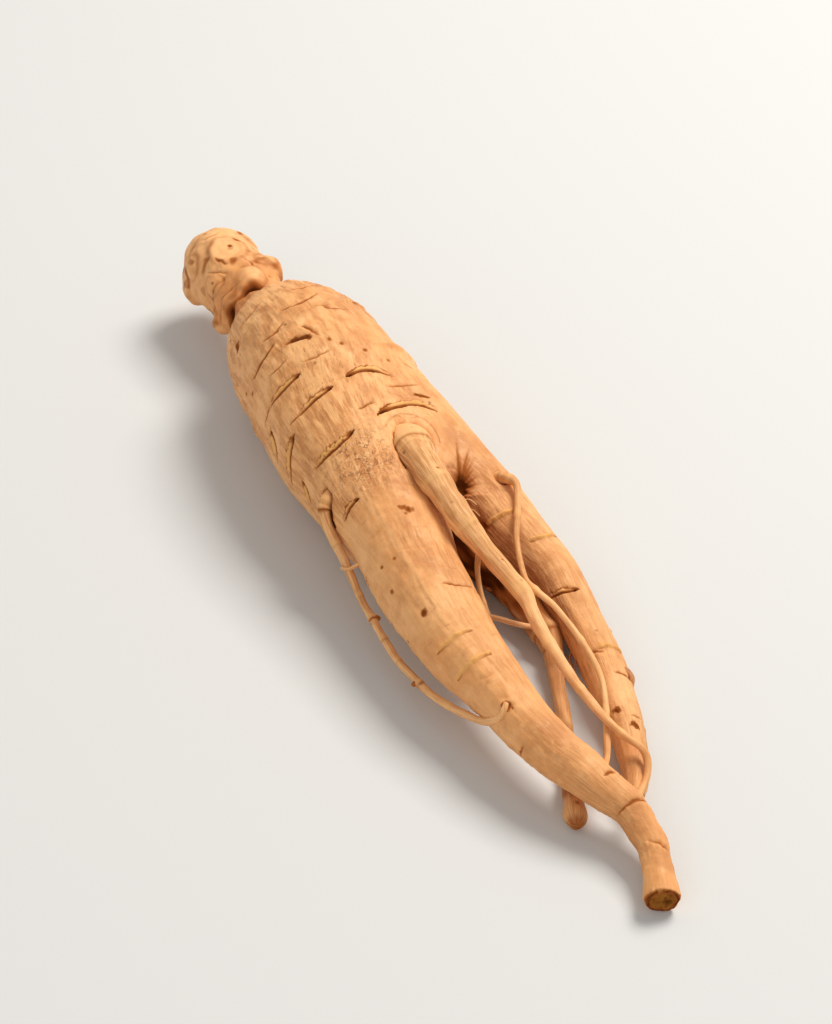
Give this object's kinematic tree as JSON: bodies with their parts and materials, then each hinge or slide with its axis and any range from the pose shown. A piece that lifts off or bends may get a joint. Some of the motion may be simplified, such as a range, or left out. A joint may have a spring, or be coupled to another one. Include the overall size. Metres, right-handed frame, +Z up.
{
  "type": "ginseng root",
  "caption": "Fresh ginseng root lying on its side: ringed head with stem scars, plump wrinkled body, tapering legs that cross, and fine rootlets.",
  "frame": {"origin": "middle of the root's box, on the surface that it rests on", "axes": "+X from the head to the tips of the legs, +Y to the side where the second leg leaves the body, +Z up"},
  "size_m": [0.187, 0.0394, 0.0301],
  "materials": {
    "root_skin": "satin"
  },
  "bodies": {
    "root": {"ginseng_root": "root_skin"}
  },
  "joints": []
}
